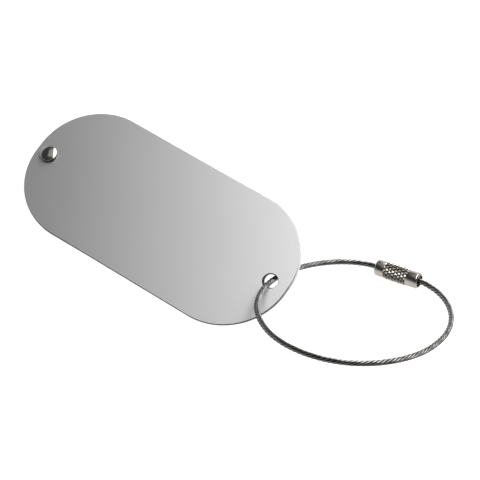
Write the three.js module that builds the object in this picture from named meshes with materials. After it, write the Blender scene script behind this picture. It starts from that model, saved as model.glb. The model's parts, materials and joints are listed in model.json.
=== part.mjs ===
// Luggage tag: two stacked aluminium plates that swivel on a rivet, closed by a loop of steel
// wire rope whose ends meet in a knurled screw barrel.
//
// Units are millimetres, +Z is up. The tag is modelled in its own frame (X from the rivet end to
// the cable hole, Z out of the front face, Z = 0 half-way between the plates) and then laid down:
// it rests on the rounded corner beside the rivet, and its other end is propped up by the loop.

import * as THREE from 'three';

const degrees = (angle) => THREE.MathUtils.degToRad(angle);

// Plates
const TAG_LENGTH = 85;
const TAG_WIDTH = 40;
const CORNER_RADIUS = 19;
const PLATE_THICKNESS = 0.7;
const PLATE_GAP = 0.4;
const EDGE_CHAMFER = 0.12;
const CABLE_HOLE_RADIUS = 2.15;
const CABLE_HOLE_X = 37.2;
const RIVET_X = -38.4;
const RIVET_Y = -0.8;              // the rivet is set a little off the centre line
const RIVET_HOLE_RADIUS = 1.28;
const REAR_PLATE_SHIFT = 0.7;      // how far the loop has pushed the rear plate's cable hole aside

// Address label and spacer between the plates
const LABEL_LENGTH = 60;
const LABEL_WIDTH = 30;
const LABEL_CORNER_RADIUS = 5;
const LABEL_THICKNESS = 0.16;
const SPACER_RADIUS = 2.6;
const SEAT_GAP = 0.08;             // air left between two pieces that rest on each other

// Rivet
const SHANK_RADIUS = 1.2;
const HEAD_RADIUS = 2.45;
const HEAD_WALL = 1;               // height of the head's straight side
const HEAD_EDGE = 0.08;
const DOME_RISE = 0.6;
const CAP_RADIUS = 2.3;
const CAP_HEIGHT = 0.9;
const CAP_WALL = 0.35;
const CAP_PROFILE = [[0.62, 1], [0.9, 0.72], [1, 0.4], [1, 0]];  // shares of radius and height

// Cable loop
const CABLE_RADIUS = 0.75;
const LOOP_RADIUS = 25.7;
const LOOP_SLOPE = degrees(36);  // the cable's slope through the plates, hard against both rims
const LOOP_LEAN = degrees(12.5);    // turn of the loop's plane about the cable in the hole

// Screw barrel, along the loop plane's X
const BARREL_Y = 23.8;
const BARREL_START = -6.2;
const BARREL_LENGTH = 13.2;
const CAPTIVE_COLLAR = 2.9;
const MOUTH_COLLAR = 3.4;
const COLLAR_RADIUS = 2.25;
const KNURL_RADIUS = 2.42;
const BARREL_CHAMFER = 0.35;
const BARREL_BORE = 1.65;
const CABLE_BORE = 0.98;
const END_WALL = 2.3;
const FERRULE_RADIUS = 1.45;
const FERRULE_LENGTH = 3;
const FERRULE_CHAMFER = 0.2;
const FERRULE_PLAY = 0.15;         // end play of the captive ferrule behind the end wall
const SCREW_RADIUS = 1.56;
const SCREW_LENGTH = 4.5;
const SCREW_RECESS = 1.3;          // depth of the screw's face inside the barrel's mouth
const SCREW_NECK = 0.9;
const SCREW_GROOVE = 0.5;
const SCREW_CHAMFER = 0.3;
const CABLE_END_GAP = 0.3;

// How the tag lies
const TAG_ROLL = degrees(9);       // far long edge up
const TAG_PITCH = degrees(-3.6);   // cable end up

const BARREL_END = BARREL_START + BARREL_LENGTH;
const SCREW_FACE = BARREL_END - SCREW_RECESS;
const FERRULE_START = BARREL_START + END_WALL + FERRULE_PLAY;
const CABLE_FIRST_X = SCREW_FACE + CABLE_END_GAP;
const CABLE_LAST_X = FERRULE_START - CABLE_END_GAP;

// The cable's centre line in the loop's plane, from the screw in the barrel's mouth round through
// the plates, at (-LOOP_RADIUS, 0), and back to the captive ferrule.
const CABLE_ROUTE = [
  [CABLE_FIRST_X, 23.8],
  [7.4, 23.7],
  [8.9, 23.5],
  [10.7, 22.9],
  [13.4, 21.7],
  [16.4, 19.7],
  [19.6, 16.6],
  [22.3, 12.8],
  [24.4, 8.1],
  [25.5, 3.2],
  [25.6, -1.6],
  [24.9, -6.5],
  [23.1, -11.3],
  [20.4, -15.6],
  [17.0, -19.3],
  [12.7, -22.4],
  [8.1, -24.4],
  [3.2, -25.5],
  [-1.8, -25.6],
  [-6.7, -24.8],
  [-11.5, -23.0],
  [-15.8, -20.2],
  [-19.4, -16.8],
  [-22.5, -12.4],
  [-24.6, -7.5],
  [-25.6, -2.4],
  [-25.6, 2.4],
  [-24.6, 7.5],
  [-22.5, 12.4],
  [-19.5, 16.7],
  [-16.0, 20.1],
  [-12.3, 22.4],
  [-9.3, 23.5],
  [-7.2, 23.8],
  [-6.2, 23.8],
  [CABLE_LAST_X, 23.8],
];

const OUTLINE_STEPS = 12;
const TURNED_SIDES = 32;
const CABLE_SIDES = 8;
const CABLE_STEPS = 72;
const DOME_STEPS = 6;

const satinAluminium = () => new THREE.MeshStandardMaterial({
  color: 0xc2c3c5, roughness: 0.42, metalness: 1,
});
const polishedSteel = () => new THREE.MeshStandardMaterial({
  color: 0xb4b2ae, roughness: 0.15, metalness: 1,
});
const ropeSteel = () => new THREE.MeshStandardMaterial({
  color: 0x7c7c7c, roughness: 0.35, metalness: 1,
});
const labelPaper = () => new THREE.MeshStandardMaterial({
  color: 0xf1efe9, roughness: 0.9, metalness: 0,
});
const nylon = () => new THREE.MeshStandardMaterial({
  color: 0xdcdcd8, roughness: 0.6, metalness: 0,
});

function piece(name, geometry, material) {
  const mesh = new THREE.Mesh(geometry, material);
  mesh.name = name;
  return mesh;
}

// A rectangle with round corners, centred on the origin.
function roundedRectangle(length, width, radius) {
  const x = length / 2 - radius;
  const y = width / 2 - radius;
  const corners = [[x, y], [-x, y], [-x, -y], [x, -y]];
  const shape = new THREE.Shape();
  corners.forEach(([cx, cy], index) => {
    const start = index * Math.PI / 2;
    shape.absarc(cx, cy, radius, start, start + Math.PI / 2);
  });
  return shape;
}

function roundHole(x, y, radius) {
  return new THREE.Path().absarc(x, y, radius, 0, 2 * Math.PI, true);
}

// A solid of revolution about Z from a profile of [radius, height] points.
function turned(profile) {
  const points = profile.map(([radius, height]) => new THREE.Vector2(radius, height));
  const geometry = new THREE.LatheGeometry(points, TURNED_SIDES);
  return geometry.rotateX(Math.PI / 2);
}

// A flat ring or tube about Z, from one height to another.
function ring(innerRadius, outerRadius, bottom, top) {
  return turned([
    [innerRadius, bottom],
    [outerRadius, bottom],
    [outerRadius, top],
    [innerRadius, top],
    [innerRadius, bottom],
  ]);
}

// One plate with its inner face at height 0 and its outer face at PLATE_THICKNESS.
function plateGeometry() {
  const shape = roundedRectangle(TAG_LENGTH, TAG_WIDTH, CORNER_RADIUS);
  shape.holes.push(roundHole(CABLE_HOLE_X, 0, CABLE_HOLE_RADIUS));
  shape.holes.push(roundHole(RIVET_X, RIVET_Y, RIVET_HOLE_RADIUS));
  const geometry = new THREE.ExtrudeGeometry(shape, {
    depth: PLATE_THICKNESS - 2 * EDGE_CHAMFER,
    bevelThickness: EDGE_CHAMFER,
    bevelSize: EDGE_CHAMFER,
    bevelOffset: -EDGE_CHAMFER,
    bevelSegments: 1,
    curveSegments: OUTLINE_STEPS,
  });
  return geometry.translate(0, 0, EDGE_CHAMFER);
}

function frontPlate() {
  const plate = piece('front_plate', plateGeometry(), satinAluminium());
  plate.position.z = PLATE_GAP / 2;
  return plate;
}

function rearPlate() {
  const plate = piece('rear_plate', plateGeometry(), satinAluminium());
  plate.position.z = -PLATE_GAP / 2 - PLATE_THICKNESS;
  return plate;
}

// Paper address label stuck to the rear plate's inner face.
function addressLabel() {
  const shape = roundedRectangle(LABEL_LENGTH, LABEL_WIDTH, LABEL_CORNER_RADIUS);
  const geometry = new THREE.ExtrudeGeometry(shape, {
    depth: LABEL_THICKNESS,
    bevelEnabled: false,
    curveSegments: OUTLINE_STEPS / 2,
  });
  const label = piece('address_label', geometry, labelPaper());
  label.position.z = -PLATE_GAP / 2 + SEAT_GAP;
  return label;
}

// Domed head on the front face, with the shank that carries both plates.
function rivet() {
  const seat = PLATE_GAP / 2 + PLATE_THICKNESS + SEAT_GAP;
  const shoulder = seat + HEAD_WALL;
  const domeRadius = HEAD_RADIUS - HEAD_EDGE;
  const profile = [
    [0, -seat - CAP_HEIGHT + CAP_WALL],
    [SHANK_RADIUS, -seat - CAP_HEIGHT + CAP_WALL],
    [SHANK_RADIUS, seat],
    [HEAD_RADIUS, seat],
    [HEAD_RADIUS, shoulder - HEAD_EDGE],
    [domeRadius, shoulder],
  ];
  const top = shoulder + DOME_RISE;
  const curvature = (domeRadius ** 2 + DOME_RISE ** 2) / (2 * DOME_RISE);
  const edgeSlope = Math.asin(domeRadius / curvature);
  for (let step = 1; step < DOME_STEPS; step += 1) {
    const slope = edgeSlope * (1 - step / DOME_STEPS);
    profile.push([curvature * Math.sin(slope), top - curvature * (1 - Math.cos(slope))]);
  }
  profile.push([0, top]);
  const mesh = piece('rivet', turned(profile), polishedSteel());
  mesh.position.set(RIVET_X, RIVET_Y, 0);
  return mesh;
}

// Low cap pressed over the shank's end behind the rear plate.
function rivetCap() {
  const seat = PLATE_GAP / 2 + PLATE_THICKNESS + SEAT_GAP;
  const bore = SHANK_RADIUS + SEAT_GAP;
  const floor = -seat - CAP_HEIGHT + CAP_WALL - SEAT_GAP;
  const mesh = piece('rivet_cap', turned([
    [0, -seat - CAP_HEIGHT],
    ...CAP_PROFILE.map(([radius, height]) => [CAP_RADIUS * radius, -seat - CAP_HEIGHT * height]),
    [bore, -seat],
    [bore, floor],
    [0, floor],
  ]), polishedSteel());
  mesh.position.set(RIVET_X, RIVET_Y, 0);
  return mesh;
}

// Thin washer that keeps the plates apart by the label's thickness.
function spacerWasher() {
  const half = PLATE_GAP / 2 - SEAT_GAP;
  const mesh = piece('spacer_washer', ring(RIVET_HOLE_RADIUS, SPACER_RADIUS, -half, half), nylon());
  mesh.position.set(RIVET_X, RIVET_Y, 0);
  return mesh;
}

// The cable as a plain tube along its route.
function cable() {
  const curve = new THREE.CatmullRomCurve3(CABLE_ROUTE.map(([x, y]) => new THREE.Vector3(x, y, 0)));
  const corners = [];
  for (let side = 0; side < CABLE_SIDES; side += 1) {
    const angle = side / CABLE_SIDES * 2 * Math.PI;
    corners.push(new THREE.Vector2(CABLE_RADIUS * Math.cos(angle), CABLE_RADIUS * Math.sin(angle)));
  }
  const section = new THREE.Shape(corners);
  const geometry = new THREE.ExtrudeGeometry(section, { steps: CABLE_STEPS, extrudePath: curve });
  return piece('cable', geometry, ropeSteel());
}

// Lays a piece turned about Z along the barrel's axis, with its base at a given X.
function alongBarrel(mesh, start) {
  mesh.rotation.y = Math.PI / 2;
  mesh.position.set(start, BARREL_Y, 0);
  return mesh;
}

// Barrel sleeve: a collar at each end, the grip between them, the thread's bore from the mouth
// and a narrow bore for the cable through the end wall.
function barrelSleeve() {
  const gripStart = CAPTIVE_COLLAR;
  const gripEnd = BARREL_LENGTH - MOUTH_COLLAR;
  const step = KNURL_RADIUS - COLLAR_RADIUS;
  return alongBarrel(piece('barrel_sleeve', turned([
    [CABLE_BORE, 0],
    [COLLAR_RADIUS - BARREL_CHAMFER, 0],
    [COLLAR_RADIUS, BARREL_CHAMFER],
    [COLLAR_RADIUS, gripStart - step],
    [KNURL_RADIUS, gripStart],
    [KNURL_RADIUS, gripEnd],
    [COLLAR_RADIUS, gripEnd + step],
    [COLLAR_RADIUS, BARREL_LENGTH - BARREL_CHAMFER],
    [COLLAR_RADIUS - BARREL_CHAMFER, BARREL_LENGTH],
    [BARREL_BORE, BARREL_LENGTH],
    [BARREL_BORE, END_WALL],
    [CABLE_BORE, END_WALL],
    [CABLE_BORE, 0],
  ]), polishedSteel()), BARREL_START);
}

// Ferrule crimped on the cable's captive end, free to turn behind the sleeve's end wall.
function captiveFerrule() {
  return alongBarrel(piece('captive_ferrule', turned([
    [0, 0],
    [FERRULE_RADIUS, 0],
    [FERRULE_RADIUS, FERRULE_LENGTH - FERRULE_CHAMFER],
    [FERRULE_RADIUS - FERRULE_CHAMFER, FERRULE_LENGTH],
    [0, FERRULE_LENGTH],
  ]), polishedSteel()), FERRULE_START);
}

// Screw crimped on the cable's free end: a threaded length, a relief groove and a plain neck.
function screwFerrule() {
  const root = SCREW_RADIUS - SCREW_CHAMFER;
  const neckStart = SCREW_LENGTH - SCREW_NECK;
  const threadEnd = neckStart - SCREW_GROOVE;
  return alongBarrel(piece('screw_ferrule', turned([
    [0, 0],
    [root, 0],
    [SCREW_RADIUS, SCREW_CHAMFER],
    [SCREW_RADIUS, threadEnd],
    [root, threadEnd],
    [root, neckStart],
    [SCREW_RADIUS, neckStart],
    [SCREW_RADIUS, SCREW_LENGTH],
    [0, SCREW_LENGTH],
  ]), polishedSteel()), SCREW_FACE - SCREW_LENGTH);
}

// Rear plate and label, swung about the rivet by the push of the cable in the holes.
function rearLeaf() {
  const swing = Math.asin(REAR_PLATE_SHIFT / (CABLE_HOLE_X - RIVET_X));
  const pivot = new THREE.Group();
  pivot.position.set(RIVET_X, RIVET_Y, 0);
  pivot.rotation.z = swing;
  const leaf = new THREE.Group();
  leaf.position.set(-RIVET_X, -RIVET_Y, 0);
  leaf.add(rearPlate(), addressLabel());
  pivot.add(leaf);
  return pivot;
}

// The loop turns about the cable hole; its own plane has its origin at the loop's centre.
function loop() {
  const atHole = new THREE.Group();
  atHole.position.set(CABLE_HOLE_X, REAR_PLATE_SHIFT / 2, 0);
  atHole.rotation.set(-LOOP_SLOPE, -LOOP_LEAN, 0);
  const plane = new THREE.Group();
  plane.position.x = LOOP_RADIUS;
  plane.add(cable(), barrelSleeve(), captiveFerrule(), screwFerrule());
  atHole.add(plane);
  return atHole;
}

// Lays the tag down and puts the origin under the middle of the plates' box.
function layDown(plates, loopGroup) {
  const tag = new THREE.Group();
  tag.rotation.set(TAG_ROLL, TAG_PITCH, 0);
  tag.add(plates);
  const box = new THREE.Box3().setFromObject(tag, true);
  const centre = box.getCenter(new THREE.Vector3());
  tag.position.set(-centre.x, -centre.y, -box.min.z);
  tag.add(loopGroup);
  return tag;
}

const plates = new THREE.Group();
plates.add(frontPlate(), rearLeaf(), rivet(), rivetCap(), spacerWasher());

const luggageTag = new THREE.Group();
luggageTag.add(layDown(plates, loop()));

export default luggageTag;
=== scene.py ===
"""Looks of the luggage tag: satin aluminium plates on a polished rivet, and a loop of stranded wire
rope closed by a knurled screw barrel. Lengths are metres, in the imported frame.

Pieces are built in one of two local frames and then placed:
  tag   X from the rivet to the cable hole, Z out of the front face, Z = 0 half-way between plates
  loop  X along the screw barrel, origin at the loop's centre, cable hole at (-LOOP_RADIUS, 0)
"""

import json
import math

import bmesh
import bpy
import numpy as np
from mathutils import Matrix, Vector


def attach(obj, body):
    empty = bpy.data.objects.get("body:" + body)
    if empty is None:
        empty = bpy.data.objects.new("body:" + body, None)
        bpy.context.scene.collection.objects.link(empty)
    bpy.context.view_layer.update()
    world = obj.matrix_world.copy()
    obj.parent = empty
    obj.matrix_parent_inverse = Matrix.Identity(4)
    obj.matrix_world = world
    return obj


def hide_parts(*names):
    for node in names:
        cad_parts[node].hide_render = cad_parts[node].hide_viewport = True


MM = 0.001
TAU = 2 * math.pi

# Camera: where it looks, and from where
CAMERA_TARGET = (0.0229, 0.00556, 0.008)
CAMERA_AZIMUTH = 34.61
CAMERA_ELEVATION = 60.57
CAMERA_ROLL = 0.17
CAMERA_DISTANCE = 0.5544
CAMERA_LENS = 152.1

# Studio: two soft panels with their long sides along one slant, and a floor just under the tag
PANEL_SLANT = (-0.42, 0.89, 0.1)
KEY_POSITION = (0.068, 0.187, 0.269)
KEY_SIZE = (0.155, 0.50)
KEY_POWER = 2.5
FILL_POSITION = (-0.07, 0.06, 0.29)
FILL_SIZE = (0.16, 0.34)
FILL_POWER = 0.080
FLOOR_HALF = 3.0
FLOOR_LEVEL = -0.05 * MM
FLOOR_GLOW = 0.96
SKY_WHITE_BELOW = 0.06             # sine of the elevation, and so is the next
SKY_DARK_ABOVE = 0.42
SKY_DARK = 0.062

# Plates
TAG_LENGTH = 85 * MM
TAG_WIDTH = 40 * MM
CORNER_RADIUS = 19 * MM
PLATE_THICKNESS = 0.7 * MM
PLATE_GAP = 0.4 * MM
PLATE_EDGE = 0.12 * MM
CABLE_HOLE_X = 37.2 * MM
CABLE_HOLE_RADIUS = 2.15 * MM
# radius of the painted shade ring round the cable hole on the rear plate's inner face
SHADE_RING_RADIUS = 2.9 * MM
RIVET_X = -38.4 * MM
RIVET_Y = -0.8 * MM
RIVET_HOLE_RADIUS = 1.28 * MM
REAR_PLATE_SHIFT = 0.7 * MM
CORNER_STEPS = 96
CABLE_HOLE_STEPS = 72
RIVET_HOLE_STEPS = 48
FACE_RISE = 0.98                   # a face whose normal rises less than this belongs to the edge
EDGE_METAL, HOLE_METAL = 1, 2      # places in a plate's list of metals

# Rivet
SEAT_GAP = 0.08 * MM
SHANK_RADIUS = 1.2 * MM
HEAD_RADIUS = 2.45 * MM
HEAD_WALL = 1.0 * MM
FLANGE_SIDE = 0.22 * MM            # heights above the seat: top of the flange's straight side, top of the flange, and top of the dark tint painted as shade on the head's side
FLANGE_TOP = 0.32 * MM             # top of the flange,
SIDE_METAL_TOP = 0.34 * MM         # and top of the darker metal
WAIST_STEP = 0.12 * MM
DOME_INSET = 0.08 * MM
DOME_RISE = 0.6 * MM
DOME_STEPS = 14
CAP_RADIUS = 2.3 * MM
CAP_HEIGHT = 0.9 * MM
CAP_WALL = 0.35 * MM

# Wire rope
ROPE_RADIUS = 0.78 * MM
STRANDS = 6
STRAND_LAY = 8.6 * MM              # length along the rope of one full turn of a strand
STRAND_SWELL = 1.03                # strands press into each other by this share
STRAND_SIDES = 14
WIRES = 6                          # fine wires round a strand
WIRE_LAY = 1.1 * MM
ROPE_SPACING = 0.36 * MM
LOOP_RADIUS = 25.7 * MM

# Screw barrel
BARREL_Y = 23.8 * MM
BARREL_START = -6.2 * MM
BARREL_LENGTH = 13.2 * MM
CAPTIVE_COLLAR = 2.9 * MM
MOUTH_COLLAR = 3.4 * MM
COLLAR_RADIUS = 2.25 * MM
KNURL_RADIUS = 2.42 * MM
KNURL_DEPTH = 0.3 * MM
KNURL_STARTS = 16
KNURL_LEAD_ANGLE = math.radians(27)
KNURL_FLAT = 1.25                  # above 1, the crests are cut flat
KNURL_RUNOUT = 0.35 * MM           # length over which the knurl rises to its full depth
KNURL_OVERRUN = 0.1 * MM           # length by which it passes the grip's ends
KNURL_ROWS = 72
SIDES_PER_START = 14
GRIP_SINK = 0.02 * MM
BARREL_CHAMFER = 0.35 * MM
BARREL_BORE = 1.65 * MM
CABLE_BORE = 0.98 * MM
END_WALL = 2.3 * MM
SCREW_RADIUS = 1.56 * MM
SCREW_LENGTH = 4.5 * MM
SCREW_RECESS = 1.3 * MM
SCREW_NECK = 0.9 * MM
SCREW_CHAMFER = 0.12 * MM
RELIEF_LENGTH = 0.5 * MM
THREAD_PITCH = 0.5 * MM
THREAD_DEPTH = 0.3 * MM
THREAD_ROWS = 60
CAPTIVE_RADIUS = 1.45 * MM
CAPTIVE_LENGTH = 3.0 * MM
CAPTIVE_GAP = 0.15 * MM

# Turned pieces
FILLET = 0.1 * MM
FILLET_STEPS = 4
TURNED_SHARP_ANGLE = 40

# The rope's centre line in the loop's plane, from the screw in the barrel's mouth round through
# the plates and back to the captive ferrule.
ROPE_ROUTE = [
    (0.0060, 0.0238),
    (0.0074, 0.0237),
    (0.0089, 0.0235),
    (0.0107, 0.0229),
    (0.0134, 0.0217),
    (0.0164, 0.0197),
    (0.0196, 0.0166),
    (0.0223, 0.0128),
    (0.0244, 0.0081),
    (0.0255, 0.0032),
    (0.0256, -0.0016),
    (0.0249, -0.0065),
    (0.0231, -0.0113),
    (0.0204, -0.0156),
    (0.0170, -0.0193),
    (0.0127, -0.0224),
    (0.0081, -0.0244),
    (0.0032, -0.0255),
    (-0.0018, -0.0256),
    (-0.0067, -0.0248),
    (-0.0115, -0.0230),
    (-0.0158, -0.0202),
    (-0.0194, -0.0168),
    (-0.0225, -0.0124),
    (-0.0246, -0.0075),
    (-0.0256, -0.0024),
    (-0.0256, 0.0024),
    (-0.0246, 0.0075),
    (-0.0225, 0.0124),
    (-0.0195, 0.0167),
    (-0.0160, 0.0201),
    (-0.0123, 0.0224),
    (-0.0093, 0.0235),
    (-0.0072, 0.0238),
    (-0.0062, 0.0238),
    (-0.00405, 0.0238),
]


# ---------------------------------------------------------------- frames

def tag_frame(joints):
    """The tag's own frame, from the rivet's axis and the line along the tag through the hole."""
    swivel = joints["plate_swivel"]
    z = Vector(swivel["axis"]).normalized()
    x = -Vector(joints["loop_swing"]["axis"])
    x = (x - x.dot(z) * z).normalized()
    y = z.cross(x)
    origin = Vector(swivel["pos_m"]) - RIVET_X * x - RIVET_Y * y
    return frame_matrix(x, y, z, origin)


def loop_frame(joints):
    """The loop's frame, from the barrel's axis and the point where the rope passes the hole."""
    x = Vector(joints["barrel_twist"]["axis"]).normalized()
    origin = Vector(joints["loop_swing"]["pos_m"]) + LOOP_RADIUS * x
    y = Vector(joints["barrel_twist"]["pos_m"]) - origin
    y = (y - y.dot(x) * x).normalized()
    return frame_matrix(x, y, x.cross(y), origin)


def frame_matrix(x, y, z, origin):
    """The matrix of a frame with these three axes and this origin."""
    return Matrix((
        (x.x, y.x, z.x, origin.x),
        (x.y, y.y, z.y, origin.y),
        (x.z, y.z, z.z, origin.z),
        (0, 0, 0, 1),
    ))


# ---------------------------------------------------------------- mesh helpers

def mesh_object(name, vertices, faces, smooth_angle=35):
    """A linked object with this mesh, smooth but for edges sharper than the angle."""
    mesh = bpy.data.meshes.new(name)
    mesh.from_pydata([tuple(v) for v in vertices], [], faces)
    mesh.validate()
    mesh.update()
    obj = bpy.data.objects.new(name, mesh)
    bpy.context.scene.collection.objects.link(obj)
    smooth(obj, smooth_angle)
    return obj


def smooth(obj, angle):
    """Smooth shading that keeps edges sharper than angle."""
    mesh = obj.data
    mesh.shade_smooth()
    mesh.set_sharp_from_angle(angle=math.radians(angle))


def place(obj, matrix, body, materials, node):
    """Puts a finished piece in the frame, on its body, with its finish, in place of a CAD node."""
    obj.data.transform(matrix)
    for material in materials:
        obj.data.materials.append(material)
    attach(obj, body)
    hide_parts(node)
    return obj


def grid_faces(rings, sides, closed_length=False):
    """Quads between consecutive closed rings of vertices, and with closed_length also from the last
    ring to the first."""
    faces = []
    count = rings if closed_length else rings - 1
    for i in range(count):
        a, b = i * sides, ((i + 1) % rings) * sides
        for j in range(sides):
            k = (j + 1) % sides
            faces.append((a + j, a + k, b + k, b + j))
    return faces


def point_attribute(obj, name, values):
    """One number for each vertex, for a material to read."""
    attribute = obj.data.attributes.new(name, "FLOAT", "POINT")
    attribute.data.foreach_set("value", np.asarray(values, np.float32))


def rounded_profile(points):
    """The profile with each corner that has a third value rounded by that many fillets."""
    out = []
    for i, p in enumerate(points):
        if len(p) < 3 or p[2] == 0 or i in (0, len(points) - 1):
            out.append(p[:2])
            continue
        here = np.array(p[:2])
        before = np.array(points[i - 1][:2]) - here
        after = np.array(points[i + 1][:2]) - here
        reach = FILLET * p[2]
        a = here + before / np.linalg.norm(before) * reach
        b = here + after / np.linalg.norm(after) * reach
        for step in range(FILLET_STEPS + 1):
            t = step / FILLET_STEPS
            out.append(tuple((1 - t) ** 2 * a + 2 * t * (1 - t) * here + t * t * b))
    return out


def revolve(name, profile, sides=96):
    """A closed solid of revolution about local Z from (radius, height) points. Points on the axis
    become one vertex."""
    vertices, rings = [], []
    angles = np.arange(sides) / sides * TAU
    for r, h in profile:
        if r < 1e-9:
            rings.append([len(vertices)])
            vertices.append((0, 0, h))
        else:
            rings.append(range(len(vertices), len(vertices) + sides))
            vertices.extend((r * math.cos(a), r * math.sin(a), h) for a in angles)
    faces = []
    for lower, upper in zip(rings, rings[1:]):
        for j in range(sides):
            k = (j + 1) % sides
            if len(lower) == 1:
                faces.append((lower[0], upper[k], upper[j]))
            elif len(upper) == 1:
                faces.append((lower[j], lower[k], upper[0]))
            else:
                faces.append((lower[j], lower[k], upper[k], upper[j]))
    return mesh_object(name, vertices, faces, TURNED_SHARP_ANGLE)


# ---------------------------------------------------------------- node helpers

class Nodes:
    """A material's node tree with short calls for what the finishes here need."""

    def __init__(self, name):
        self.material = bpy.data.materials.new(name)
        self.material.use_nodes = True
        self.tree = self.material.node_tree
        self.shader = self.tree.nodes["Principled BSDF"]

    def add(self, kind, **sockets):
        node = self.tree.nodes.new(kind)
        for name, value in sockets.items():
            self.put(node, name.replace("_", " "), value)
        return node

    def put(self, node, name, value):
        socket = node.inputs[name]
        if isinstance(value, bpy.types.NodeSocket):
            self.tree.links.new(value, socket)
        else:
            socket.default_value = value

    def set(self, **sockets):
        for name, value in sockets.items():
            self.put(self.shader, name.replace("_", " "), value)

    def coordinates(self, matrix=None):
        """Object coordinates, turned into the piece's local frame if its matrix is given."""
        socket = self.add("ShaderNodeTexCoord").outputs["Object"]
        if matrix is None:
            return socket
        mapping = self.add("ShaderNodeMapping")
        inverse = matrix.inverted()
        self.put(mapping, "Vector", socket)
        mapping.inputs["Rotation"].default_value = inverse.to_euler()
        mapping.inputs["Location"].default_value = inverse.translation
        return mapping.outputs["Vector"]

    def stretched(self, vector, scale):
        mapping = self.add("ShaderNodeMapping")
        self.put(mapping, "Vector", vector)
        mapping.inputs["Scale"].default_value = scale
        return mapping.outputs["Vector"]

    def noise(self, vector, scale, detail=3.0, roughness=0.5):
        node = self.add("ShaderNodeTexNoise", Vector=vector, Scale=scale, Detail=detail,
                        Roughness=roughness)
        return node.outputs["Fac"]

    def rescale(self, value, low, high, start=0.0, end=1.0):
        node = self.add("ShaderNodeMapRange")
        self.put(node, "Value", value)
        self.put(node, "From Min", start)
        self.put(node, "From Max", end)
        self.put(node, "To Min", low)
        self.put(node, "To Max", high)
        return node.outputs["Result"]

    def math(self, operation, a, b=0.0):
        node = self.tree.nodes.new("ShaderNodeMath")
        node.operation = operation
        for socket, value in zip(node.inputs, (a, b)):
            if isinstance(value, bpy.types.NodeSocket):
                self.tree.links.new(value, socket)
            else:
                socket.default_value = value
        return node.outputs["Value"]

    def mix(self, factor, a, b, blend="MIX"):
        node = self.tree.nodes.new("ShaderNodeMix")
        node.data_type = "RGBA"
        node.blend_type = blend
        for name, value in (("Factor_Float", factor), ("A_Color", a), ("B_Color", b)):
            socket = next(s for s in node.inputs if s.identifier == name)
            if isinstance(value, bpy.types.NodeSocket):
                self.tree.links.new(value, socket)
            else:
                socket.default_value = (*value, 1) if isinstance(value, tuple) else value
        return next(s for s in node.outputs if s.identifier == "Result_Color")

    def attribute(self, name):
        node = self.add("ShaderNodeAttribute")
        node.attribute_name = name
        return node.outputs["Fac"]

    def bump(self, height, strength, distance):
        node = self.add("ShaderNodeBump", Height=height, Strength=strength, Distance=distance)
        return node.outputs["Normal"]


# ---------------------------------------------------------------- materials

def satin_aluminium(name, matrix, shade_ring=False):
    """Fine blasted aluminium: even satin grain, faint drawn streaks along the tag, soft clouds.
    With the ring option it adds painted shade: a near-black ring round the cable hole on the inner
    face, standing for the shade in the gap between the plates."""
    n = Nodes(name)
    local = n.coordinates(matrix)
    grain = n.noise(local, 5200, 2.0, 0.55)
    streaks = n.noise(n.stretched(local, (160, 3200, 160)), 1.0, 3.0, 0.6)
    clouds = n.noise(local, 55, 3.0, 0.5)
    tone = n.mix(n.rescale(clouds, 0.0, 1.0, 0.3, 0.7), (0.775, 0.778, 0.78), (0.785, 0.785, 0.785))
    tone = n.mix(n.rescale(grain, 0.0, 0.10, 0.35, 0.65), tone, (0.62, 0.62, 0.63))
    if shade_ring:
        # painted shade: near-black ring round the cable hole on the inner face, where the gap
        # between the plates lies in shade
        from_hole = n.tree.nodes.new("ShaderNodeVectorMath")
        from_hole.operation = "DISTANCE"
        n.put(from_hole, 0, n.stretched(local, (1, 1, 0)))
        n.put(from_hole, 1, (CABLE_HOLE_X, 0, 0))
        beyond = n.rescale(from_hole.outputs["Value"], 0.0, 1.0,
                           SHADE_RING_RADIUS, SHADE_RING_RADIUS + 0.4 * MM)
        height = n.add("ShaderNodeSeparateXYZ", Vector=local).outputs["Z"]
        outside = n.rescale(height, 1.0, 0.0, -0.6 * MM, -0.4 * MM)
        tone = n.mix(n.math("MAXIMUM", beyond, outside), (0.07, 0.068, 0.065), tone)
    rough = n.math("ADD", n.rescale(clouds, 0.387, 0.393, 0.3, 0.7),
                   n.rescale(streaks, -0.003, 0.003, 0.3, 0.7))
    height = n.math("ADD", n.math("MULTIPLY", grain, 0.7), n.math("MULTIPLY", streaks, 0.3))
    n.set(Base_Color=tone, Metallic=1.0, Roughness=rough,
          Normal=n.bump(height, 0.12, 0.00003))
    return n.material


def cut_edge(name, matrix, near, far):
    """A plate's blanked edge and hole wall: dull, with drag lines across the thickness, and painted
    shade: the near tone, dark, on the near side, running to the lighter far tone on the far side."""
    n = Nodes(name)
    local = n.coordinates(matrix)
    drag = n.noise(n.stretched(local, (7000, 7000, 500)), 1.0, 2.0, 0.5)
    # painted shading: the tone runs from the near side, painted dark as shade, to the far side,
    # painted lighter as lit
    painted_shading = n.rescale(n.add("ShaderNodeSeparateXYZ", Vector=local).outputs["Y"],
                       0.0, 1.0, -0.002, 0.010)
    tone = n.mix(painted_shading, (near, near, near), (far, far, far))
    tone = n.mix(drag, tone, (0.8, 0.8, 0.8), "MULTIPLY")
    n.set(Base_Color=tone, Metallic=1.0, Roughness=n.rescale(drag, 0.46, 0.56),
          Normal=n.bump(drag, 0.08, 0.00002))
    return n.material


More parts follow.
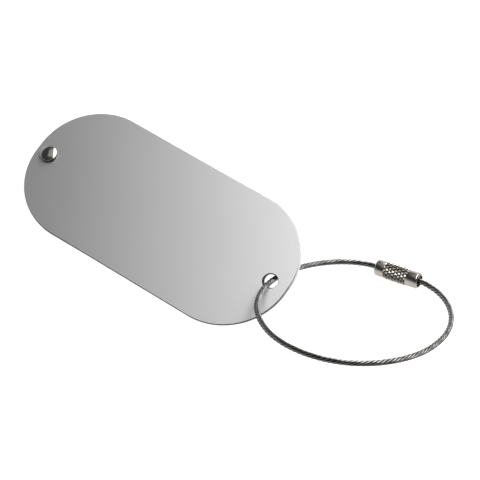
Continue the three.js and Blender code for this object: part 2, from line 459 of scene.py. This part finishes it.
def polished_steel(name, matrix, tint, roughness=(0.16, 0.22)):
    """Nickel-plated steel: bright, with fine rubbing marks and slightly duller patches."""
    n = Nodes(name)
    local = n.coordinates(matrix)
    marks = n.noise(n.stretched(local, (900, 900, 6000)), 1.0, 4.0, 0.65)
    patches = n.noise(local, 700, 3.0, 0.6)
    darker = tuple(c * 0.82 for c in tint)
    tone = n.mix(n.rescale(patches, 0.0, 1.0, 0.35, 0.7), tint, darker)
    n.set(Base_Color=tone, Metallic=1.0,
          Roughness=n.rescale(patches, roughness[0], roughness[1], 0.3, 0.7),
          Normal=n.bump(marks, 0.03, 0.00002))
    return n.material


def knurled_steel(name, matrix):
    """The barrel's nickel, painted darker down the knurl's grooves as shade, with clean nickel on
    the crests.
    """
    n = Nodes(name)
    local = n.coordinates(matrix)
    marks = n.noise(n.stretched(local, (6000, 900, 900)), 1.0, 4.0, 0.65)
    patches = n.noise(local, 900, 3.0, 0.6)
    crest = n.attribute("crest")
    clean = n.mix(n.rescale(patches, 0.0, 1.0, 0.35, 0.7),
                  (0.40, 0.375, 0.345), (0.32, 0.298, 0.272))
    # painted shade: darker towards the bottom of the knurl's grooves, where the crest value is low
    tone = n.mix(n.rescale(crest, 0.0, 1.0, 0.25, 0.75), (0.19, 0.172, 0.15), clean)
    grip = n.attribute("grip")
    rough = n.math("ADD", n.rescale(grip, 0.0, 0.06), n.rescale(patches, 0.18, 0.25, 0.3, 0.7))
    n.set(Base_Color=tone, Metallic=1.0, Roughness=rough, Normal=n.bump(marks, 0.06, 0.00002))
    return n.material


def rope_steel(name):
    """Stranded stainless rope: fine wires laid round each strand, painted shade between the wires
    and between the strands.
    """
    n = Nodes(name)
    uv = n.add("ShaderNodeTexCoord").outputs["UV"]
    parts = n.add("ShaderNodeSeparateXYZ", Vector=uv)
    phase = n.math("ADD", parts.outputs["X"], parts.outputs["Y"])
    wires = n.math("ABSOLUTE", n.math("SINE", n.math("MULTIPLY", phase, math.pi)))
    streak = n.noise(n.stretched(uv, (0.6, 14.0, 1.0)), 1.0, 3.0, 0.6)
    crown = n.attribute("crown")
    tone = n.mix(n.rescale(streak, 0.0, 1.0, 0.3, 0.7), (0.15, 0.147, 0.142), (0.21, 0.205, 0.198))
    # painted shade in the grooves between the fine wires
    tone = n.mix(n.rescale(wires, 0.0, 1.0, 0.0, 0.6), (0.12, 0.1175, 0.114), tone)
    # painted shade between the strands, where crown is low
    tone = n.mix(n.rescale(crown, 0.0, 1.0, 0.55, 1.0), (0.055, 0.054, 0.052), tone)
    n.set(Base_Color=tone, Metallic=1.0, Roughness=n.rescale(streak, 0.18, 0.24, 0.3, 0.7),
          Normal=n.bump(wires, 0.25, 0.00003))
    return n.material


def turned_steel(name, matrix):
    """Machined ferrule: fine turning rings."""
    n = Nodes(name)
    local = n.coordinates(matrix)
    rings = n.noise(n.stretched(local, (9000, 30, 30)), 1.0, 2.0, 0.5)
    tone = n.mix(rings, (0.52, 0.50, 0.47), (0.68, 0.66, 0.63))
    n.set(Base_Color=tone, Metallic=1.0, Roughness=n.rescale(rings, 0.2, 0.34),
          Normal=n.bump(rings, 0.25, 0.00002))
    return n.material


def label_paper(name, matrix):
    """Uncoated label stock with fibres, and faint ruled lines to write on."""
    n = Nodes(name)
    local = n.coordinates(matrix)
    fibres = n.noise(n.stretched(local, (1400, 5200, 1400)), 1.0, 5.0, 0.65)
    across = n.add("ShaderNodeSeparateXYZ", Vector=local).outputs["Y"]
    line = n.math("PINGPONG", n.math("ADD", across, 0.0025), 0.0025)
    ruled = n.rescale(line, 1.0, 0.0, 0.00005, 0.00012)
    paper = n.mix(fibres, (0.90, 0.885, 0.85), (0.96, 0.95, 0.92))
    tone = n.mix(n.math("MULTIPLY", ruled, 0.5), paper, (0.45, 0.47, 0.5))
    n.set(Base_Color=tone, Roughness=0.88, Normal=n.bump(fibres, 0.2, 0.00004))
    return n.material


def moulded_nylon(name):
    """Natural nylon with a soft moulded grain."""
    n = Nodes(name)
    local = n.coordinates()
    grain = n.noise(local, 3000, 3.0, 0.5)
    tone = n.mix(grain, (0.80, 0.80, 0.77), (0.87, 0.87, 0.845))
    n.set(Base_Color=tone, Roughness=n.rescale(grain, 0.45, 0.62),
          Normal=n.bump(grain, 0.15, 0.00003))
    return n.material


# ---------------------------------------------------------------- pieces

def plate(name):
    """One plate about its mid-height: rounded rectangle with the hole and the rivet's hole, and
    finely rounded edges."""
    curve = bpy.data.curves.new(name, "CURVE")
    curve.dimensions = "2D"
    curve.fill_mode = "BOTH"
    curve.extrude = PLATE_THICKNESS / 2 - PLATE_EDGE
    curve.bevel_depth = PLATE_EDGE
    curve.bevel_resolution = 2
    curve.offset = -PLATE_EDGE
    x, y = TAG_LENGTH / 2 - CORNER_RADIUS, TAG_WIDTH / 2 - CORNER_RADIUS
    outline = []
    for index, (cx, cy) in enumerate(((x, y), (-x, y), (-x, -y), (x, -y))):
        for step in range(CORNER_STEPS + 1):
            angle = (index + step / CORNER_STEPS) * TAU / 4
            outline.append((cx + CORNER_RADIUS * math.cos(angle),
                            cy + CORNER_RADIUS * math.sin(angle)))
    closed_line(curve, outline)
    closed_line(curve, circle(CABLE_HOLE_X, 0, CABLE_HOLE_RADIUS, CABLE_HOLE_STEPS))
    closed_line(curve, circle(RIVET_X, RIVET_Y, RIVET_HOLE_RADIUS, RIVET_HOLE_STEPS))
    shape = bpy.data.objects.new(name + "_outline", curve)
    bpy.context.scene.collection.objects.link(shape)
    mesh = bpy.data.meshes.new_from_object(shape)
    bpy.data.objects.remove(shape)
    mesh.name = name
    obj = bpy.data.objects.new(name, mesh)
    bpy.context.scene.collection.objects.link(obj)
    weld(obj, 1e-7)
    smooth(obj, 12)
    for face in mesh.polygons:
        if abs(face.normal.z) < FACE_RISE:
            from_hole = math.hypot(face.center.x - CABLE_HOLE_X, face.center.y)
            in_hole = from_hole < CABLE_HOLE_RADIUS + PLATE_EDGE
            face.material_index = HOLE_METAL if in_hole else EDGE_METAL
    return obj


def circle(x, y, radius, steps):
    """Points round a circle."""
    return [(x + radius * math.cos(i / steps * TAU), y + radius * math.sin(i / steps * TAU))
            for i in range(steps)]


def closed_line(curve, points):
    """Adds one closed outline to a flat curve."""
    line = curve.splines.new("POLY")
    line.points.add(len(points) - 1)
    for point, (px, py) in zip(line.points, points):
        point.co = (px, py, 0, 1)
    line.use_cyclic_u = True


def weld(obj, distance):
    """Joins vertices that lie within distance of each other."""
    mesh = bmesh.new()
    mesh.from_mesh(obj.data)
    bmesh.ops.remove_doubles(mesh, verts=mesh.verts, dist=distance)
    mesh.to_mesh(obj.data)
    mesh.free()


def rivet():
    """Head with a soft dome and a straight side on a thin flange, and the shank below."""
    seat = PLATE_GAP / 2 + PLATE_THICKNESS + SEAT_GAP
    bottom = -seat - CAP_HEIGHT + CAP_WALL
    shoulder = seat + HEAD_WALL
    waist = HEAD_RADIUS - WAIST_STEP
    profile = [
        (0, bottom),
        (SHANK_RADIUS, bottom, 1),
        (SHANK_RADIUS, seat),
        (HEAD_RADIUS, seat, 0.5),
        (HEAD_RADIUS, seat + FLANGE_SIDE, 0.7),
        (waist, seat + FLANGE_TOP, 0.4),
        (waist, shoulder - 0.02 * MM, 1.2),
    ]
    profile = rounded_profile(profile + [(0, shoulder + DOME_RISE)])[:-1]
    crown = waist - DOME_INSET
    dome = (crown ** 2 + DOME_RISE ** 2) / (2 * DOME_RISE)
    edge = math.asin(crown / dome)
    for step in range(DOME_STEPS):
        angle = edge * (1 - step / DOME_STEPS)
        profile.append((dome * math.sin(angle),
                        shoulder + DOME_RISE - dome * (1 - math.cos(angle))))
    profile.append((0, shoulder + DOME_RISE))
    obj = revolve("rivet_turned", profile)
    # painted shade: the upright side and the flange take the second metal, the nickel with its tint
    # made dark
    for face in obj.data.polygons:
        upright = abs(face.normal.z) < 0.3
        face.material_index = int(upright or face.center.z < seat + SIDE_METAL_TOP)
    return obj


def rivet_cap():
    """Pressed cap over the shank's end, with a shallow dimple."""
    seat = PLATE_GAP / 2 + PLATE_THICKNESS + SEAT_GAP
    bore = SHANK_RADIUS + SEAT_GAP
    roof = -seat - CAP_HEIGHT + CAP_WALL - SEAT_GAP
    profile = [
        (0, -seat - 0.82 * CAP_HEIGHT),
        (0.25 * CAP_RADIUS, -seat - 0.84 * CAP_HEIGHT, 1),
        (0.42 * CAP_RADIUS, -seat - CAP_HEIGHT, 2),
        (0.62 * CAP_RADIUS, -seat - CAP_HEIGHT, 2),
        (0.9 * CAP_RADIUS, -seat - 0.72 * CAP_HEIGHT, 3),
        (CAP_RADIUS, -seat - 0.35 * CAP_HEIGHT, 2),
        (CAP_RADIUS, -seat, 0.5),
        (bore, -seat),
        (bore, roof),
        (0, roof),
    ]
    return revolve("rivet_cap_pressed", rounded_profile(profile))


def rope_line():
    """Evenly spaced points along the rope's centre line, in the loop's frame, and its length. The
    line is a centripetal Catmull-Rom spline through the route."""
    knots = np.array(ROPE_ROUTE)
    chord = np.linalg.norm(np.diff(knots, axis=0), axis=1)
    at = np.concatenate([[0], np.cumsum(np.sqrt(chord))])
    dense = []
    padded = np.vstack([2 * knots[0] - knots[1], knots, 2 * knots[-1] - knots[-2]])
    times = np.concatenate([[at[0] - (at[1] - at[0])], at, [2 * at[-1] - at[-2]]])
    for i in range(1, len(knots)):
        p0, p1, p2, p3 = padded[i - 1:i + 3]
        t0, t1, t2, t3 = times[i - 1:i + 3]
        for t in np.linspace(t1, t2, 40, endpoint=False):
            a1 = (t1 - t) / (t1 - t0) * p0 + (t - t0) / (t1 - t0) * p1
            a2 = (t2 - t) / (t2 - t1) * p1 + (t - t1) / (t2 - t1) * p2
            a3 = (t3 - t) / (t3 - t2) * p2 + (t - t2) / (t3 - t2) * p3
            b1 = (t2 - t) / (t2 - t0) * a1 + (t - t0) / (t2 - t0) * a2
            b2 = (t3 - t) / (t3 - t1) * a2 + (t - t1) / (t3 - t1) * a3
            dense.append((t2 - t) / (t2 - t1) * b1 + (t - t1) / (t2 - t1) * b2)
    dense.append(knots[-1])
    dense = np.array(dense)
    run = np.concatenate([[0], np.cumsum(np.linalg.norm(np.diff(dense, axis=0), axis=1))])
    count = int(round(run[-1] / ROPE_SPACING)) + 1
    even = np.linspace(0, run[-1], count)
    xy = np.stack([np.interp(even, run, dense[:, k]) for k in (0, 1)], axis=1)
    return np.column_stack([xy, np.zeros(count)]), run[-1]


def wire_rope():
    """Strands laid left-handed round a core strand along the rope's line."""
    line, length = rope_line()
    tangent = np.gradient(line, axis=0)
    tangent /= np.linalg.norm(tangent, axis=1)[:, None]
    side = np.cross(tangent, (0, 0, 1))
    up = np.tile((0.0, 0.0, 1.0), (len(line), 1))
    run = np.linspace(0, length, len(line))
    strand = ROPE_RADIUS / 3 * STRAND_SWELL
    centre = ROPE_RADIUS - strand
    vertices, faces, crown, uvs = [], [], [], []
    for index in range(STRANDS + 1):
        core = index == STRANDS
        offset = 0 if core else centre
        turn = run / STRAND_LAY * TAU + index / STRANDS * TAU
        outward = np.cos(turn)[:, None] * side + np.sin(turn)[:, None] * up
        around = -np.sin(turn)[:, None] * side + np.cos(turn)[:, None] * up
        slope = math.atan(TAU * offset / STRAND_LAY)
        # the strand's cross direction leans with its lay, so that its section stays round
        across = around * math.cos(slope) - tangent * math.sin(slope)
        base = len(vertices)
        for i in range(len(line)):
            for j in range(STRAND_SIDES):
                angle = j / STRAND_SIDES * TAU
                vertices.append(line[i] + outward[i] * (offset + strand * math.cos(angle))
                                + across[i] * strand * math.sin(angle))
                # crown: 1 on a strand's outer side, 0 on its inner side and on the core; the
                # material paints shade where it is low
                crown.append(0 if core else 0.5 + 0.5 * math.cos(angle))
                uvs.append((run[i] / WIRE_LAY, WIRES * j / STRAND_SIDES))
        faces += [tuple(base + k for k in face)
                  for face in grid_faces(len(line), STRAND_SIDES)]
        faces.append(tuple(base + j for j in reversed(range(STRAND_SIDES))))
        last = base + (len(line) - 1) * STRAND_SIDES
        faces.append(tuple(last + j for j in range(STRAND_SIDES)))
    obj = mesh_object("cable_stranded", vertices, faces, 60)
    point_attribute(obj, "crown", crown)
    wrap_uvs(obj, uvs, WIRES)
    return obj, line


def wrap_uvs(obj, uvs, period):
    """Per-corner UVs from per-vertex ones; across the seam the second value goes on to period."""
    layer = obj.data.uv_layers.new(name="UVMap")
    for face in obj.data.polygons:
        values = [uvs[obj.data.loops[k].vertex_index] for k in face.loop_indices]
        top = max(v for _, v in values)
        for k, (u, v) in zip(face.loop_indices, values):
            layer.data[k].uv = (u, v + period if top - v > period / 2 else v)


def barrel_sleeve():
    """Sleeve with a diamond knurl between plain collars, bored from the mouth."""
    sides = KNURL_STARTS * SIDES_PER_START
    grip_start = CAPTIVE_COLLAR - KNURL_OVERRUN
    grip_end = BARREL_LENGTH - MOUTH_COLLAR + KNURL_OVERRUN
    rings = [(r, x, 0.0) for r, x in rounded_profile([
        (CABLE_BORE, END_WALL),
        (CABLE_BORE, 0, 1),
        (COLLAR_RADIUS - BARREL_CHAMFER, 0, 1),
        (COLLAR_RADIUS, BARREL_CHAMFER, 1.5),
        (COLLAR_RADIUS, grip_start - KNURL_OVERRUN),
    ])]
    for row in range(KNURL_ROWS + 1):
        x = grip_start + (grip_end - grip_start) * row / KNURL_ROWS
        rings.append((KNURL_RADIUS, x, 1.0))
    rings += [(r, x, 0.0) for r, x in rounded_profile([
        (COLLAR_RADIUS, grip_end + KNURL_OVERRUN),
        (COLLAR_RADIUS, BARREL_LENGTH - BARREL_CHAMFER, 1.5),
        (COLLAR_RADIUS - BARREL_CHAMFER, BARREL_LENGTH, 1),
        (BARREL_BORE, BARREL_LENGTH, 1),
        (BARREL_BORE, END_WALL),
        (CABLE_BORE, END_WALL),
    ])]
    theta = np.arange(sides) / sides * TAU
    vertices, crest, grip = [], [], []
    slope = math.tan(KNURL_LEAD_ANGLE) / KNURL_RADIUS
    for radius, x, knurled in rings:
        height = np.ones(sides)
        if knurled:
            cut = min(1, min(x - grip_start, grip_end - x) / KNURL_RUNOUT)
            for hand in (1, -1):
                phase = (theta + hand * x * slope) * KNURL_STARTS / TAU
                ridge = 1 - np.abs(2 * (phase % 1) - 1)
                height = np.minimum(height, ridge * KNURL_FLAT)
            height = 1 - (1 - height) * cut
            low = COLLAR_RADIUS - GRIP_SINK
            radii = low + (KNURL_RADIUS - low) * cut - KNURL_DEPTH * (1 - height)
        else:
            radii = np.full(sides, radius)
        # crest: 1 on the knurl's crests and the plain surfaces, lower down the grooves; the
        # material paints shade where it is low
        crest.extend(height)
        grip.extend([knurled] * sides)
        for r, t in zip(radii, theta):
            vertices.append((x, r * math.cos(t), r * math.sin(t)))
    obj = mesh_object("barrel_sleeve_knurled", vertices,
                      grid_faces(len(rings), sides, closed_length=True), 32)
    point_attribute(obj, "crest", crest)
    point_attribute(obj, "grip", grip)
    return obj


def screw_ferrule():
    """Threaded length, relief groove and plain neck, with a crimped dish where the rope leaves."""
    sides = 64
    neck = SCREW_LENGTH - SCREW_NECK
    thread_end = neck - RELIEF_LENGTH
    root = SCREW_RADIUS - THREAD_DEPTH
    rings = [(0.0, 0.0, False), (root - 0.1 * MM, 0.0, False), (root, 0.06 * MM, False)]
    for row in range(THREAD_ROWS + 1):
        x = 0.1 * MM + (thread_end - 0.1 * MM) * row / THREAD_ROWS
        rings.append((SCREW_RADIUS, x, True))
    rings += [
        (root, thread_end + 0.02 * MM, False),
        (root, neck - 0.02 * MM, False),
        (SCREW_RADIUS - 0.03 * MM, neck, False),
        (SCREW_RADIUS, neck + 0.05 * MM, False),
        (SCREW_RADIUS, SCREW_LENGTH - SCREW_CHAMFER, False),
        (SCREW_RADIUS - SCREW_CHAMFER, SCREW_LENGTH, False),
        (1.15 * MM, SCREW_LENGTH, False),
        (0.95 * MM, SCREW_LENGTH - 0.22 * MM, False),
        (0.7 * MM, SCREW_LENGTH - 0.3 * MM, False),
        (0.0, SCREW_LENGTH - 0.3 * MM, False),
    ]
    theta = np.arange(sides) / sides * TAU
    vertices = []
    for radius, x, threaded in rings:
        radii = np.full(sides, max(radius, 1e-7))
        if threaded:
            edge = min(1, x / (0.4 * MM), (thread_end + 0.1 * MM - x) / (0.3 * MM))
            phase = (x / THREAD_PITCH - theta / TAU) % 1
            ridge = 1 - np.abs(2 * phase - 1)
            radii = root + (SCREW_RADIUS - root) * np.clip(ridge * 1.2, 0, 1) * max(edge, 0)
        for r, t in zip(radii, theta):
            vertices.append((x, r * math.cos(t), r * math.sin(t)))
    obj = mesh_object("screw_ferrule_threaded", vertices, grid_faces(len(rings), sides))
    weld(obj, 1e-6)
    return obj


def captive_ferrule():
    """Plain swaged ferrule with rounded ends, closed round the rope."""
    profile = rounded_profile([
        (0, 0),
        (CAPTIVE_RADIUS, 0, 1.5),
        (CAPTIVE_RADIUS, CAPTIVE_LENGTH, 2.5),
        (0, CAPTIVE_LENGTH),
    ])
    return revolve("captive_ferrule_swaged", profile, 64)


# ---------------------------------------------------------------- studio

def camera():
    """The camera, from the direction, distance and turn given above."""
    data = bpy.data.cameras.new("Camera")
    data.sensor_width = 36
    data.lens = CAMERA_LENS
    data.clip_start = 0.01
    data.clip_end = 20
    obj = bpy.data.objects.new("Camera", data)
    bpy.context.scene.collection.objects.link(obj)
    azimuth, elevation = math.radians(CAMERA_AZIMUTH), math.radians(CAMERA_ELEVATION)
    back = Vector((
        math.sin(azimuth) * math.cos(elevation),
        -math.cos(azimuth) * math.cos(elevation),
        math.sin(elevation),
    ))
    aim = back.to_track_quat("Z", "Y").to_matrix().to_4x4()
    roll = Matrix.Rotation(math.radians(CAMERA_ROLL), 4, "Z")
    position = Matrix.Translation(Vector(CAMERA_TARGET) + back * CAMERA_DISTANCE)
    obj.matrix_world = position @ aim @ roll
    bpy.context.scene.camera = obj


def softbox(name, position, along, size, power):
    """A rectangular area light facing the camera's target, its long side along a line."""
    data = bpy.data.lights.new(name, "AREA")
    data.shape = "RECTANGLE"
    data.size, data.size_y = size
    data.energy = power
    obj = bpy.data.objects.new(name, data)
    bpy.context.scene.collection.objects.link(obj)
    away = (Vector(position) - Vector(CAMERA_TARGET)).normalized()
    y = Vector(along)
    y = (y - y.dot(away) * away).normalized()
    obj.matrix_world = frame_matrix(y.cross(away), y, away, Vector(position))


def studio():
    """White floor and horizon, a dark ceiling, and soft lights."""
    world = bpy.data.worlds.new("Studio")
    bpy.context.scene.world = world
    world.use_nodes = True
    tree = world.node_tree
    direction = tree.nodes.new("ShaderNodeTexCoord").outputs["Generated"]
    height = tree.nodes.new("ShaderNodeSeparateXYZ")
    ramp = tree.nodes.new("ShaderNodeValToRGB")
    tree.links.new(direction, height.inputs["Vector"])
    tree.links.new(height.outputs["Z"], ramp.inputs["Fac"])
    tree.links.new(ramp.outputs["Color"], tree.nodes["Background"].inputs["Color"])
    ramp.color_ramp.elements[0].position = SKY_WHITE_BELOW
    ramp.color_ramp.elements[0].color = (1, 1, 1, 1)
    ramp.color_ramp.elements[1].position = SKY_DARK_ABOVE
    ramp.color_ramp.elements[1].color = (SKY_DARK, SKY_DARK, SKY_DARK, 1)
    tree.nodes["Background"].inputs["Strength"].default_value = 1.0

    n = Nodes("White sweep")
    n.set(Base_Color=(0.25, 0.25, 0.25, 1), Roughness=0.9, Emission_Color=(1, 1, 1, 1),
          Emission_Strength=FLOOR_GLOW)
    corners = [(x * FLOOR_HALF, y * FLOOR_HALF, FLOOR_LEVEL)
               for x, y in ((-1, -1), (1, -1), (1, 1), (-1, 1))]
    floor = mesh_object("Floor", corners, [(0, 1, 2, 3)])
    floor.data.materials.append(n.material)

    softbox("Key", KEY_POSITION, PANEL_SLANT, KEY_SIZE, KEY_POWER)
    softbox("Fill", FILL_POSITION, PANEL_SLANT, FILL_SIZE, FILL_POWER)


# ---------------------------------------------------------------- build

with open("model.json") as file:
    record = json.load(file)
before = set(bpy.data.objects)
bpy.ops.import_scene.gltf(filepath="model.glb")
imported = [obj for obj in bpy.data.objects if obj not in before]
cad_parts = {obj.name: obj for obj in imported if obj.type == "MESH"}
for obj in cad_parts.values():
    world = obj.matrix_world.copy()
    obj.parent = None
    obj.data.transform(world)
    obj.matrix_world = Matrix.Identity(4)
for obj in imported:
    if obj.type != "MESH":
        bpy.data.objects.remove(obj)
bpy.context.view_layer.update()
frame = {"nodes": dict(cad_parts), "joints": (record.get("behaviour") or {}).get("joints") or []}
joints = {joint["name"]: joint for joint in frame["joints"]}
TAG = tag_frame(joints)
LOOP = loop_frame(joints)
AT_RIVET = Matrix.Translation((RIVET_X, RIVET_Y, 0))
SWIVEL = (AT_RIVET
          @ Matrix.Rotation(math.asin(REAR_PLATE_SHIFT / (CABLE_HOLE_X - RIVET_X)), 4, "Z")
          @ AT_RIVET.inverted())
BARREL = LOOP @ Matrix.Translation((BARREL_START, BARREL_Y, 0))
ALONG_X = Matrix.Rotation(TAU / 4, 4, "Y")

bpy.context.scene.view_settings.view_transform = "Standard"
camera()
studio()

# Finishes
aluminium = satin_aluminium("Satin aluminium", TAG)
# painted shade on the plates' edges: the hole wall near black, the front edge dark on the near side
# and lighter to the far side, the rear edge lighter still
hole_wall = cut_edge("Hole wall", TAG, 0.02, 0.02)
front_metals = [aluminium, cut_edge("Front plate edge", TAG, 0.05, 0.42), hole_wall]
# the rear plate's satin aluminium, with a painted shade ring round the cable hole on its inner face
painted_shading = satin_aluminium("Painted shade aluminium", TAG @ SWIVEL, shade_ring=True)
rear_metals = [painted_shading, cut_edge("Rear plate edge", TAG, 0.42, 0.52), hole_wall]
nickel = polished_steel("Polished rivet", TAG, (0.48, 0.464, 0.442))
# the rivet's side and flange: the same nickel, its tint made dark as painted shade
rivet_side = polished_steel("Rivet side", TAG, (0.07, 0.067, 0.063), (0.25, 0.4))
barrel_nickel = knurled_steel("Knurled nickel", BARREL)
rope_metal = rope_steel("Rope steel")
ferrule_metal = turned_steel("Turned ferrule", BARREL)

# Wire rope
rope, rope_points = wire_rope()
place(rope, LOOP, "loop", [rope_metal], "cable")

# Screw barrel on the rope's ends
sleeve = place(barrel_sleeve(), BARREL, "sleeve", [barrel_nickel], "barrel_sleeve")
captive_place = Matrix.Translation((END_WALL + CAPTIVE_GAP, 0, 0)) @ ALONG_X
captive = place(captive_ferrule(), BARREL @ captive_place, "loop", [ferrule_metal],
                "captive_ferrule")
screw_place = Matrix.Translation((BARREL_LENGTH - SCREW_RECESS - SCREW_LENGTH, 0, 0))
screw = place(screw_ferrule(), BARREL @ screw_place, "loop", [ferrule_metal],
              "screw_ferrule")

# Plates, with the paper label between them
plate_middle = (PLATE_GAP + PLATE_THICKNESS) / 2
place(plate("front_plate_satin"), TAG @ Matrix.Translation((0, 0, plate_middle)), "front",
      front_metals, "front_plate")
place(plate("rear_plate_satin"), TAG @ SWIVEL @ Matrix.Translation((0, 0, -plate_middle)), "rear",
      rear_metals, "rear_plate")
place(rivet(), TAG @ AT_RIVET, "front", [nickel, rivet_side], "rivet")
place(rivet_cap(), TAG @ AT_RIVET, "front", [nickel], "rivet_cap")

label = frame["nodes"]["address_label"]
label.data.materials.clear()
label.data.materials.append(label_paper("Label paper", TAG @ SWIVEL))
washer = frame["nodes"]["spacer_washer"]
washer.data.materials.clear()
washer.data.materials.append(moulded_nylon("Moulded nylon"))
